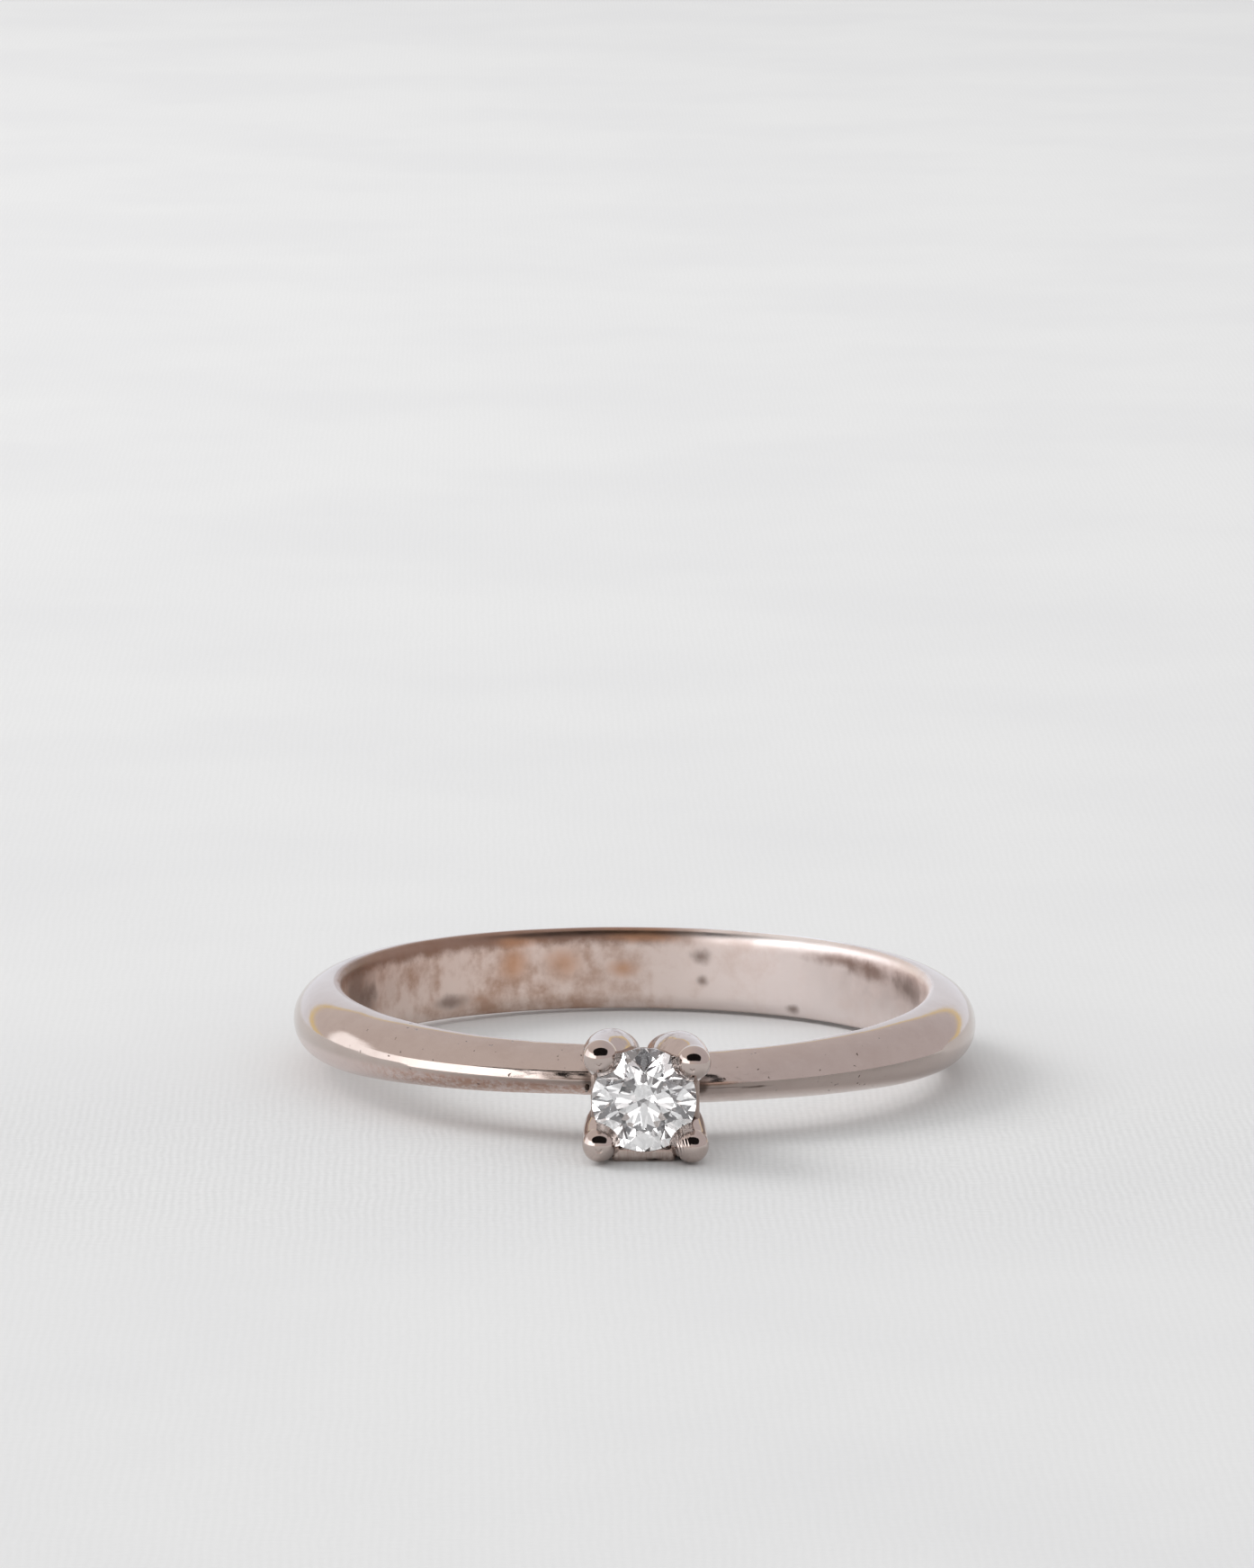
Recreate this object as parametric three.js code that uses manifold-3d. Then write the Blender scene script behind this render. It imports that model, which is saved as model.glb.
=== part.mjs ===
// Solitaire engagement ring: an open D-section band, soldered to a four-claw head with a round brilliant.
// Millimetres. The finger axis is Z, the head faces -Y, and the origin is the centre of the finger hole.

import * as THREE from 'three';
import { mergeVertices } from 'three/addons/utils/BufferGeometryUtils.js';
import { ConvexGeometry } from 'three/addons/geometries/ConvexGeometry.js';
import Module from 'manifold-3d';

const wasm = await Module();
wasm.setup();

// Band: a D-section wire that widens from the head to the back.
const FINGER_RADIUS = 8.5;
const WIRE_THICKNESS = 1.47;
const HALF_WIDTH = { head: 0.73, side: 1.15, back: 1.26 };
const INNER_EDGE = 0.2;
const SHOULDER_OFFSET = 0.12;
const BACK_LIFT = 0.07;
const WIRE_END_X = 1.62;
const BAND_STEPS = 96;

// Head: everything in it is measured from the girdle plane of the stone.
const GIRDLE_DISTANCE = 12.71;
const SOLDER_FILM = 0.02;
const SOLDER_PROUD = 0.06;

const STONE_RADIUS = 1.45;
const TABLE_RADIUS = 0.57 * STONE_RADIUS;
const STAR_REACH = 0.79 * STONE_RADIUS;
const LOWER_HALF_REACH = 0.22 * STONE_RADIUS;
const CROWN_HEIGHT = 0.32 * STONE_RADIUS;
const PAVILION_DEPTH = 0.86 * STONE_RADIUS;
const GIRDLE_THICKNESS = 0.06;
const GIRDLE_STEPS = 64;

const BEAD_DEPTH = 0.3;
const BEAD_RADIUS = 0.48;
const CLAW_FOOT_DEPTH = 3.45;
const CLAW_STEPS = 20;
const CLAWS = {
  claw_top_left: { bead: [-1.22, 1.27], foot: [-0.45, 0.7], swell: 0.75 },
  claw_top_right: { bead: [1.36, 1.11], foot: [0.5, 0.66], swell: 0.78 },
  claw_bottom_left: { bead: [-1.24, -1.2], foot: [-0.46, -0.5], swell: 0.68 },
  claw_bottom_right: { bead: [1.31, -1.23], foot: [0.5, -0.5], swell: 0.7 },
};

const RAIL_HALF_LENGTH = 0.8;
const RAIL_ROUND = 0.12;
const RAILS = {
  rail_bottom: { turn: Math.PI, reach: 1.75, width: 0.42, depth: 0.02, height: 0.68 },
  rail_top: { turn: 0, reach: 1.43, width: 0.4, depth: 0.32, height: 0.6 },
  rail_left: { turn: Math.PI / 2, reach: 1.46, width: 0.4, depth: 0.32, height: 0.6 },
  rail_right: { turn: -Math.PI / 2, reach: 1.55, width: 0.4, depth: 0.32, height: 0.6 },
};

const COLLAR_HALF_X = 1.42;
const COLLAR_HALF_Y = 0.72;
const COLLAR_TOP_DEPTH = 2.45;
const COLLAR_ROUND = 0.4;
const COLLAR_BEVEL = 0.12;
const CULET_BORE_RADIUS = 0.42;

const BAND_GOLD = { color: 0xc9b7b0, roughness: 0.22, metalness: 1 };
const HEAD_GOLD = { color: 0xcfc1bc, roughness: 0.12, metalness: 1 };
const SOLDER_GOLD = { color: 0x9a857c, roughness: 0.5, metalness: 1 };
const DIAMOND = { color: 0xf4f6fa, roughness: 0.02, metalness: 0 };

function solidOf(geometry) {
  const bare = geometry.index ? geometry.toNonIndexed() : geometry.clone();
  bare.deleteAttribute('normal');
  bare.deleteAttribute('uv');
  const merged = mergeVertices(bare, 1e-5);
  const vertProperties = new Float32Array(merged.attributes.position.array);
  const triVerts = new Uint32Array(merged.index.array);
  return new wasm.Manifold(new wasm.Mesh({ numProp: 3, vertProperties, triVerts }));
}

function meshOf(name, solid, finish) {
  const { vertProperties, triVerts } = solid.getMesh();
  const geometry = new THREE.BufferGeometry();
  geometry.setAttribute('position', new THREE.BufferAttribute(new Float32Array(vertProperties), 3));
  geometry.setIndex(new THREE.BufferAttribute(new Uint32Array(triVerts), 1));
  geometry.computeVertexNormals();
  const mesh = new THREE.Mesh(geometry, new THREE.MeshStandardMaterial(finish));
  mesh.name = name;
  return mesh;
}

function box(width, depth, height, x, y, z) {
  return solidOf(new THREE.BoxGeometry(width, depth, height).translate(x, y, z));
}

// Section of the wire as radius and height, with the height as a share of the half width.
function wireSection(proud) {
  const inner = FINGER_RADIUS - proud;
  const edge = INNER_EDGE;
  const dome = new THREE.EllipseCurve(
    inner + edge, 0, WIRE_THICKNESS - edge + 2 * proud, 1, -Math.PI / 2, Math.PI / 2,
  );
  const upper = new THREE.EllipseCurve(inner + edge, 1 - edge, edge, edge, Math.PI / 2, Math.PI);
  const lower = new THREE.EllipseCurve(inner + edge, edge - 1, edge, edge, Math.PI, 1.5 * Math.PI);
  return [...dome.getPoints(12), ...upper.getPoints(3).slice(1), ...lower.getPoints(3)];
}

// Half width of the band at an angle from the head, smooth through its head, side and back values.
function halfWidth(angle) {
  const mean = (HALF_WIDTH.head + HALF_WIDTH.back) / 2;
  const lean = (HALF_WIDTH.back - HALF_WIDTH.head) / 2;
  const belly = (mean - HALF_WIDTH.side) / 2;
  return mean - belly - lean * Math.cos(angle) + belly * Math.cos(2 * angle);
}

// The closed hoop that the band and its solder are cut from: its two shoulders sit a little out of line.
function hoop(proud) {
  const geometry = new THREE.LatheGeometry(wireSection(proud), BAND_STEPS);
  geometry.rotateX(Math.PI / 2);
  const place = geometry.attributes.position;
  for (let i = 0; i < place.count; i += 1) {
    const x = place.getX(i);
    const angle = Math.abs(Math.atan2(x, -place.getY(i)));
    const side = Math.abs(x) < 1e-6 ? 0 : Math.sign(x);
    const lift = BACK_LIFT * (1 - Math.cos(angle)) / 2 - side * SHOULDER_OFFSET * (1 - angle / Math.PI);
    place.setZ(i, place.getZ(i) * (halfWidth(angle) + proud) + lift);
  }
  return solidOf(geometry);
}

function shank() {
  const notch = box(2 * WIRE_END_X, 4, 6, 0, -FINGER_RADIUS, 0);
  return meshOf('shank', hoop(0).subtract(notch), BAND_GOLD);
}

function solderSeam(name, side) {
  const from = COLLAR_HALF_X + SOLDER_FILM;
  const to = WIRE_END_X - SOLDER_FILM;
  const slice = box(to - from, 4, 6, side * (from + to) / 2, -FINGER_RADIUS, 0);
  return meshOf(name, hoop(SOLDER_PROUD).intersect(slice), SOLDER_GOLD);
}

// Corner points of one half of the stone, in the stone's own frame: the crown opens to +Z.
function facetPoints(rise, girdleZ, innerPoints, halfReach, halfZ) {
  const steepness = (halfZ - girdleZ) / (STONE_RADIUS - halfReach);
  const eighth = Math.PI / 8;
  const girdle = new THREE.Vector3(STONE_RADIUS, 0, girdleZ);
  const nextGirdle = new THREE.Vector3(
    STONE_RADIUS * Math.cos(eighth), STONE_RADIUS * Math.sin(eighth), girdleZ,
  );
  const tip = new THREE.Vector3(halfReach * Math.cos(eighth), halfReach * Math.sin(eighth), halfZ);
  const normal = new THREE.Plane().setFromCoplanarPoints(tip, girdle, nextGirdle).normal;
  const skirtZ = girdleZ - rise * 0.1;
  const skirtMain = STONE_RADIUS + (girdleZ - skirtZ) * normal.z / normal.x;
  const skirtHalf = STONE_RADIUS + (girdleZ - skirtZ) / steepness;
  const points = [...innerPoints];
  for (let k = 0; k < 8; k += 1) {
    const main = k * Math.PI / 4;
    const half = main + eighth;
    const at = (radius, angle, z) => new THREE.Vector3(
      radius * Math.cos(angle), radius * Math.sin(angle), z,
    );
    points.push(at(halfReach, half, halfZ), at(STONE_RADIUS, main, girdleZ));
    points.push(at(skirtMain, main, skirtZ), at(skirtHalf, half, skirtZ));
    points.push(at(skirtMain, main, -2 * rise), at(skirtHalf, half, -2 * rise));
  }
  return points;
}

// Round brilliant: eight mains, stars and paired halves above and below, trimmed by a round girdle.
function brilliant(grow) {
  const crownGirdle = GIRDLE_THICKNESS / 2;
  const crownSlope = CROWN_HEIGHT / (STONE_RADIUS - TABLE_RADIUS);
  const eighthCos = Math.cos(Math.PI / 8);
  const starZ = crownGirdle + crownSlope * (STONE_RADIUS - STAR_REACH * eighthCos);
  const table = Array.from({ length: 8 }, (_, k) => new THREE.Vector3(
    TABLE_RADIUS * Math.cos(k * Math.PI / 4),
    TABLE_RADIUS * Math.sin(k * Math.PI / 4),
    crownGirdle + CROWN_HEIGHT,
  ));
  const crown = solidOf(new ConvexGeometry(facetPoints(1, crownGirdle, table, STAR_REACH, starZ)));

  const pavilionSlope = PAVILION_DEPTH / STONE_RADIUS;
  const halfZ = -crownGirdle - pavilionSlope * (STONE_RADIUS - LOWER_HALF_REACH * eighthCos);
  const culet = [new THREE.Vector3(0, 0, -crownGirdle - PAVILION_DEPTH)];
  const pavilion = solidOf(new ConvexGeometry(
    facetPoints(-1, -crownGirdle, culet, LOWER_HALF_REACH, halfZ),
  ));

  const round = new THREE.CylinderGeometry(STONE_RADIUS, STONE_RADIUS, 4, GIRDLE_STEPS).rotateX(Math.PI / 2);
  const stone = crown.intersect(pavilion).intersect(solidOf(round));
  const scale = 1 + grow / STONE_RADIUS;
  return stone.scale([scale, scale, scale]);
}

// Drop-shaped claw along +Y from its foot at the origin: a slim foot, a swollen body and a round bead.
function clawBlank(length, swell, grow) {
  const body = new THREE.SplineCurve([
    new THREE.Vector2(0, -grow),
    new THREE.Vector2(0.3 + grow, 0.08),
    new THREE.Vector2(0.72 * swell + grow, 0.16 * length),
    new THREE.Vector2(0.91 * swell + grow, 0.4 * length),
    new THREE.Vector2(swell + grow, 0.6 * length),
    new THREE.Vector2((swell + BEAD_RADIUS) / 2 + 0.04 + grow, 0.8 * length),
    new THREE.Vector2(BEAD_RADIUS + grow, length),
  ]);
  const bead = new THREE.EllipseCurve(
    0, length, BEAD_RADIUS + grow, BEAD_RADIUS + grow, 0, Math.PI / 2,
  );
  const profile = [...body.getPoints(14), ...bead.getPoints(5).slice(1)];
  profile[0].x = 0;
  profile[profile.length - 1].x = 0;
  return new THREE.LatheGeometry(profile, CLAW_STEPS);
}

function clawSolid(claw, grow) {
  const foot = new THREE.Vector3(...claw.foot, -CLAW_FOOT_DEPTH);
  const tip = new THREE.Vector3(...claw.bead, BEAD_DEPTH);
  const along = tip.clone().sub(foot);
  const turn = new THREE.Quaternion().setFromUnitVectors(
    new THREE.Vector3(0, 1, 0), along.clone().normalize(),
  );
  const geometry = clawBlank(along.length(), claw.swell, grow).applyQuaternion(turn);
  return solidOf(geometry.translate(foot.x, foot.y, foot.z));
}

function allClaws(grow) {
  return Object.values(CLAWS).map((claw) => clawSolid(claw, grow)).reduce((a, b) => a.add(b));
}

function roundedRectangle(left, bottom, right, top, round) {
  const shape = new THREE.Shape();
  shape.moveTo(left + round, bottom);
  shape.absarc(right - round, bottom + round, round, -Math.PI / 2, 0);
  shape.absarc(right - round, top - round, round, 0, Math.PI / 2);
  shape.absarc(left + round, top - round, round, Math.PI / 2, Math.PI);
  shape.absarc(left + round, bottom + round, round, Math.PI, 1.5 * Math.PI);
  return shape;
}

// Gallery bar: its section is drawn with the outer face at +Y, then the bar is turned round the head's axis.
function rail(name, size) {
  const section = roundedRectangle(
    -size.depth - size.height, size.reach - size.width, -size.depth, size.reach, RAIL_ROUND,
  );
  const bar = new THREE.ExtrudeGeometry(section, {
    depth: 2 * RAIL_HALF_LENGTH, bevelEnabled: false, curveSegments: 3,
  });
  bar.translate(0, 0, -RAIL_HALF_LENGTH).rotateY(-Math.PI / 2).rotateZ(size.turn);
  const cut = solidOf(bar).subtract(allClaws(SOLDER_FILM)).subtract(brilliant(SOLDER_FILM));
  return meshOf(name, cut, HEAD_GOLD);
}

function collar() {
  const outline = roundedRectangle(
    -COLLAR_HALF_X, -COLLAR_HALF_Y, COLLAR_HALF_X, COLLAR_HALF_Y, COLLAR_ROUND,
  );
  const below = GIRDLE_DISTANCE - FINGER_RADIUS + COLLAR_ROUND;
  const block = new THREE.ExtrudeGeometry(outline, {
    depth: below - COLLAR_TOP_DEPTH - COLLAR_BEVEL,
    bevelThickness: COLLAR_BEVEL,
    bevelSize: COLLAR_BEVEL,
    bevelOffset: -COLLAR_BEVEL,
    bevelSegments: 2,
    curveSegments: 4,
  }).translate(0, 0, -below);
  const finger = new THREE.CylinderGeometry(FINGER_RADIUS, FINGER_RADIUS, 6, BAND_STEPS)
    .translate(0, 0, -GIRDLE_DISTANCE);
  const bore = new THREE.CylinderGeometry(CULET_BORE_RADIUS, CULET_BORE_RADIUS, 12, 24)
    .rotateX(Math.PI / 2);
  const cut = solidOf(block).subtract(solidOf(finger)).subtract(solidOf(bore));
  return meshOf('base_collar', cut.subtract(allClaws(SOLDER_FILM)), HEAD_GOLD);
}

function head() {
  const group = new THREE.Group();
  group.position.set(0, -GIRDLE_DISTANCE, 0);
  group.rotation.x = Math.PI / 2;
  for (const [name, claw] of Object.entries(CLAWS)) {
    const seated = clawSolid(claw, 0).subtract(brilliant(SOLDER_FILM));
    group.add(meshOf(name, seated, HEAD_GOLD));
  }
  for (const [name, size] of Object.entries(RAILS)) {
    group.add(rail(name, size));
  }
  group.add(collar());
  group.add(meshOf('diamond', brilliant(0), DIAMOND));
  return group;
}

const ring = new THREE.Group();
ring.name = 'engagement_ring';
ring.add(shank());
ring.add(solderSeam('solder_left', -1));
ring.add(solderSeam('solder_right', 1));
ring.add(head());

export default ring;
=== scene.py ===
"""Looks of a solitaire engagement ring in worn white gold: band, four-claw head and round brilliant."""

import math

import bpy
from mathutils import Matrix, Vector, noise


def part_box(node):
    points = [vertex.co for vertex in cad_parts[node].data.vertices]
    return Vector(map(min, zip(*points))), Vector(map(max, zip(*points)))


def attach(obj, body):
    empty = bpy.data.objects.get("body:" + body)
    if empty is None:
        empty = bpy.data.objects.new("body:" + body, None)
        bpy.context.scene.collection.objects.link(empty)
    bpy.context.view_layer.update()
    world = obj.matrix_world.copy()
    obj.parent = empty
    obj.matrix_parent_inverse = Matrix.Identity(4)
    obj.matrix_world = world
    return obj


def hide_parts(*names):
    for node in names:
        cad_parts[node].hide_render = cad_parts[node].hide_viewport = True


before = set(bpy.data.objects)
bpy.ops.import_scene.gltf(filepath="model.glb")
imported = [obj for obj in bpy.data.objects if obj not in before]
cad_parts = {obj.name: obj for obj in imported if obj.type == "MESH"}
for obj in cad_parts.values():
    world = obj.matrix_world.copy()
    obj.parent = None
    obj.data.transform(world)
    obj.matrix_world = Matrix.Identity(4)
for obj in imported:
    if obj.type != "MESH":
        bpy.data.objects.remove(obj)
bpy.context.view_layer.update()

MM = 0.001
TURN = 2 * math.pi

# Places read from the frame.
shank_low, shank_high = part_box("shank")
stone_low, stone_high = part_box("diamond")
collar_low, collar_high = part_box("base_collar")

GIRDLE_Y = stone_low.y + 0.494 * MM
OUTER_RADIUS = (shank_high.x - shank_low.x) / 2
FINGER_RADIUS = 8.5 * MM
BACK_HALF_WIDTH = 1.26 * MM
BACK_LIFT = 0.07 * MM
SIDE_HALF_WIDTH = 1.15 * MM
HEAD_HALF_WIDTH = 0.73 * MM
INNER_EDGE = 0.2 * MM
SHOULDER_OFFSET = 0.12 * MM
INNER_ROUND = 0.36 * MM
BAND_END_X = 1.34 * MM
END_ANGLE = math.radians(9)
WIRE_POINTS = 20
WIRE_CENTRE = FINGER_RADIUS + 2 * MM

# The band's front worn flat by hand: section step to (share of the dome's depth, height), left and right.
FLATS = {
    -1: {1: (0.957, 0.13), 0: (0.978, 0.01), -1: (0.999, -0.12)},
    1: {1: (0.884, 0.18), 0: (1.0, 0.01), -1: (0.91, -0.11)},
}

# Claws, in the head's own frame: x across, y up, measured from the stone's axis.
BEAD_RADIUS = 0.48 * MM
BEAD_DEPTH = 0.3 * MM
FOOT_DEPTH = 3.45 * MM
CLAWS = {
    "claw_top_left": ((-1.22, 1.27), (-0.45, 0.7), 0.75),
    "claw_top_right": ((1.36, 1.11), (0.5, 0.66), 0.78),
    "claw_bottom_left": ((-1.24, -1.2), (-0.46, -0.5), 0.68),
    "claw_bottom_right": ((1.31, -1.23), (0.5, -0.5), 0.7),
}

# Small round nicks on the beads: centre across and up from the bead's tip, and radius, in millimetres.
NICKS = {
    "claw_top_left": (-0.05, -0.13, 0.075),
    "claw_top_right": (-0.05, -0.13, 0.05),
    "claw_bottom_left": (-0.03, -0.05, 0.09),
}
TOP_RAIL_SUNK = 0.13 * MM


# ---------------------------------------------------------------- modelling helpers

def clear_selection():
    bpy.ops.object.select_all(action="DESELECT")


def activate(piece):
    clear_selection()
    piece.select_set(True)
    bpy.context.view_layer.objects.active = piece


def named(name):
    piece = bpy.context.object
    piece.name = name
    piece.data.name = name
    return piece


def apply_place(piece):
    activate(piece)
    bpy.ops.object.transform_apply(location=True, rotation=True, scale=True)


def subdivide_smooth(piece, levels):
    activate(piece)
    smooth = piece.modifiers.new("smooth", "SUBSURF")
    smooth.levels = levels
    smooth.render_levels = levels
    bpy.ops.object.modifier_apply(modifier=smooth.name)


def bevel_edges(piece, width, segments):
    activate(piece)
    bevel = piece.modifiers.new("bevel", "BEVEL")
    bevel.width = width
    bevel.segments = segments
    bevel.limit_method = "ANGLE"
    bpy.ops.object.modifier_apply(modifier=bevel.name)


def cut_away(piece, cutter):
    activate(piece)
    cut = piece.modifiers.new("cut", "BOOLEAN")
    cut.operation = "DIFFERENCE"
    cut.object = cutter
    cut.solver = "EXACT"
    bpy.ops.object.modifier_apply(modifier=cut.name)


def close_and_orient(piece):
    activate(piece)
    bpy.ops.object.mode_set(mode="EDIT")
    bpy.ops.mesh.select_all(action="SELECT")
    bpy.ops.mesh.remove_doubles(threshold=1e-7)
    bpy.ops.mesh.normals_make_consistent(inside=False)
    bpy.ops.object.mode_set(mode="OBJECT")


def shade(piece, degrees):
    activate(piece)
    bpy.ops.object.shade_smooth_by_angle(angle=math.radians(degrees))


def sculpt(piece, push):
    """Moves each point of the mesh along its normal by push(place, normal)."""
    normals = [v.normal.copy() for v in piece.data.vertices]
    for vertex, normal in zip(piece.data.vertices, normals):
        vertex.co += normal * push(vertex.co, normal)
    piece.data.update()


def ripple(place, grain, seed=0.0):
    return noise.noise(place / grain + Vector((seed, seed, seed)))


def fade(value, low, high):
    """0 at low, 1 at high, smooth between them."""
    share = min(max((value - low) / (high - low), 0.0), 1.0)
    return share * share * (3 - 2 * share)


def spline(points, count):
    """Points on a smooth curve through the given ones."""
    curve = []
    last = len(points) - 1
    for k in range(count + 1):
        run = k / count * last
        i = min(int(run), last - 1)
        t = run - i
        p0, p1 = points[max(i - 1, 0)], points[i]
        p2, p3 = points[i + 1], points[min(i + 2, last)]
        spot = []
        for a, b, c, d in zip(p0, p1, p2, p3):
            v0, v1 = (c - a) / 2, (d - b) / 2
            spot.append((2 * b - 2 * c + v0 + v1) * t ** 3
                        + (3 * c - 3 * b - 2 * v0 - v1) * t ** 2 + v0 * t + b)
        curve.append(tuple(spot))
    return curve


# ---------------------------------------------------------------- camera

def add_camera():
    """The camera stands low in front of the head and a little to its left."""
    distance = 250 * MM
    azimuth, elevation = math.radians(-1.2), math.radians(10.0)
    aim_above, aim_left, roll = math.radians(1.577), math.radians(0.051), math.radians(0.13)
    back = Vector((math.sin(azimuth) * math.cos(elevation),
                   -math.cos(azimuth) * math.cos(elevation), math.sin(elevation)))
    bpy.ops.object.camera_add(location=back * distance)
    camera = bpy.context.object
    camera.name = "camera"
    turn = (-back).to_track_quat("-Z", "Y").to_matrix()
    turn = turn @ Matrix.Rotation(roll, 3, "Z") @ Matrix.Rotation(aim_left, 3, "Y")
    turn = turn @ Matrix.Rotation(aim_above, 3, "X")
    camera.rotation_euler = turn.to_euler()
    camera.data.lens = 196.9
    camera.data.sensor_width = 36
    camera.data.clip_start = 0.01
    camera.data.clip_end = 20
    bpy.context.scene.camera = camera


# ---------------------------------------------------------------- node helpers

class Nodes:
    """A short way to add and link shader nodes in one tree."""

    def __init__(self, tree):
        self.tree = tree
        tree.nodes.clear()

    def add(self, kind, settings=None, **inputs):
        made = self.tree.nodes.new(kind)
        for key, value in (settings or {}).items():
            setattr(made, key, value)
        for key, value in inputs.items():
            self.put(made, key, value)
        return made

    def put(self, made, key, value):
        socket = made.inputs[int(key[1:])] if key[0] == "i" and key[1:].isdigit() \
            else made.inputs[key.replace("_", " ")]
        if isinstance(value, bpy.types.NodeSocket):
            self.tree.links.new(value, socket)
        else:
            socket.default_value = value

    def math(self, operation, first, second=0.0, third=None, clamp=False):
        made = self.add("ShaderNodeMath", {"operation": operation, "use_clamp": clamp}, i0=first, i1=second)
        if third is not None:
            self.put(made, "i2", third)
        return made.outputs[0]

    def dot(self, first, second):
        made = self.add("ShaderNodeVectorMath", {"operation": "DOT_PRODUCT"}, i0=first, i1=second)
        return made.outputs["Value"]

    def ramp(self, value, low, high, to_low=0.0, to_high=1.0):
        made = self.add("ShaderNodeMapRange", {"interpolation_type": "SMOOTHSTEP"}, i0=value)
        for key, number in (("i1", low), ("i2", high), ("i3", to_low), ("i4", to_high)):
            self.put(made, key, number)
        return made.outputs[0]

    def mix(self, share, first, second, blend="MIX"):
        made = self.add("ShaderNodeMix", {"data_type": "RGBA", "blend_type": blend})
        for index, value in ((0, share), (6, first), (7, second)):
            self.put(made, f"i{index}", value)
        return made.outputs[2]

    def noise(self, place, grain, detail=3.0, rough=0.55, stretch=(1, 1, 1)):
        """Noise whose blotches are about grain millimetres across."""
        spread = tuple(k / (grain * MM) for k in stretch)
        mapped = self.add("ShaderNodeMapping", i0=place, Scale=spread).outputs[0]
        made = self.add("ShaderNodeTexNoise", i0=mapped, Scale=1.0, Detail=detail, Roughness=rough)
        return made.outputs[0]


def rgb(red, green, blue):
    return (red, green, blue, 1.0)


def new_material(name):
    made = bpy.data.materials.new(name)
    made.use_nodes = True
    return made, Nodes(made.node_tree)


def finish_surface(nodes, **inputs):
    shader = nodes.add("ShaderNodeBsdfPrincipled")
    for key, value in inputs.items():
        nodes.put(shader, key, value)
    output = nodes.add("ShaderNodeOutputMaterial")
    nodes.tree.links.new(shader.outputs[0], output.inputs[0])


def bump(nodes, height, distance, strength=1.0, below=None):
    made = nodes.add("ShaderNodeBump", Strength=strength, Distance=distance, Height=height)
    if below is not None:
        nodes.put(made, "Normal", below)
    return made.outputs[0]


# ---------------------------------------------------------------- materials

GOLD = rgb(0.57, 0.485, 0.445)
# Near black: smut in pits and cracks, and painted shade at the band's ends.
SMUT_AND_SHADE = rgb(0.10, 0.065, 0.05)
UMBER = rgb(0.17, 0.105, 0.08)
# Copper: tarnish stains, and one painted highlight on the bore's top edge.
COPPER_STAIN_AND_GLINT = rgb(0.62, 0.34, 0.20)

RUST = rgb(0.30, 0.19, 0.15)
WARM_GRIME = rgb(0.42, 0.27, 0.20)
# Painted highlight: a white glint on the band's top rim at the right back.
PAINTED_RIM_GLINT = rgb(1.0, 0.98, 0.97)

# How far noise moves the edge of a stain, in shares of the stain's radius.
WANDER = 2.4

# Stains that this ring carries, with two painted highlights and painted shade among them: centre and radii
# in millimetres, colour, and whether the edge is ragged.
BAND_STAINS_AND_PAINTED_LIGHT = [
    ((-8.15, 2.4, 0.5), (0.45, 1.7, 0.75), UMBER, True),
    ((-7.9, 3.6, -0.2), (0.3, 0.6, 0.5), UMBER, True),
    ((-5.4, 6.6, -0.62), (0.55, 0.5, 0.16), UMBER, True),
    # painted highlight: a coppery glint on the bore's top edge at the left back
    ((-3.4, 7.9, 1.02), (0.6, 0.4, 0.14), COPPER_STAIN_AND_GLINT, False),
    ((-3.5, 7.7, 0.35), (0.34, 0.5, 0.4), COPPER_STAIN_AND_GLINT, True),
    ((-2.0, 8.3, 0.3), (0.4, 0.4, 0.34), COPPER_STAIN_AND_GLINT, True),
    ((-0.2, 8.5, 0.1), (0.34, 0.4, 0.2), COPPER_STAIN_AND_GLINT, True),
    ((0.4, 8.5, 1.1), (0.8, 0.4, 0.16), COPPER_STAIN_AND_GLINT, True),
    ((2.15, 8.3, 0.5), (0.22, 0.4, 0.16), UMBER, True),
    ((2.2, 8.3, -0.25), (0.13, 0.4, 0.12), UMBER, True),
    ((4.9, 7.0, -0.9), (0.14, 0.3, 0.1), UMBER, True),
    ((6.3, 5.7, 0.78), (1.1, 1.1, 0.15), RUST, True),
    ((7.15, 4.6, 0.62), (0.7, 0.9, 0.22), RUST, True),
    ((8.1, 2.6, 0.45), (0.4, 1.2, 0.3), UMBER, True),
    # painted highlight: the white glint along the top rim at the right back
    ((5.0, 7.2, 1.3), (2.2, 1.6, 0.26), PAINTED_RIM_GLINT, False),
    ((-1.9, -9.75, 0.05), (0.5, 0.3, 0.014), SMUT_AND_SHADE, False),
    ((3.3, -9.45, -0.27), (0.42, 0.3, 0.035), SMUT_AND_SHADE, True),
    ((2.5, -9.65, -0.24), (0.7, 0.3, 0.012), SMUT_AND_SHADE, True),
    ((2.2, -9.7, -0.1), (0.7, 0.3, 0.06), WARM_GRIME, True),
    # painted shade: dark at the band's ends beside the head, left and right
    ((-1.5, -9.8, -0.12), (0.2, 0.4, 0.4), SMUT_AND_SHADE, True),
    ((1.62, -9.8, -0.2), (0.2, 0.4, 0.3), SMUT_AND_SHADE, True),
]


def spot(n, place, centre, radii, wobble, soft=0.6):
    """1 inside a blot with a wandering edge, given by its centre and radii in millimetres."""
    middle = tuple(c * MM for c in centre)
    shrink = tuple(1 / (r * MM) for r in radii)
    away = n.add("ShaderNodeVectorMath", {"operation": "SUBTRACT"}, i0=place, i1=middle)
    scaled = n.add("ShaderNodeVectorMath", {"operation": "MULTIPLY"}, i0=away.outputs[0], i1=shrink)
    length = n.add("ShaderNodeVectorMath", {"operation": "LENGTH"}, i0=scaled.outputs[0])
    edge = n.math("ADD", length.outputs["Value"], n.math("MULTIPLY", wobble, WANDER))
    reach = 1 + WANDER / 2
    return n.ramp(edge, reach + soft, reach - soft)


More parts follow.
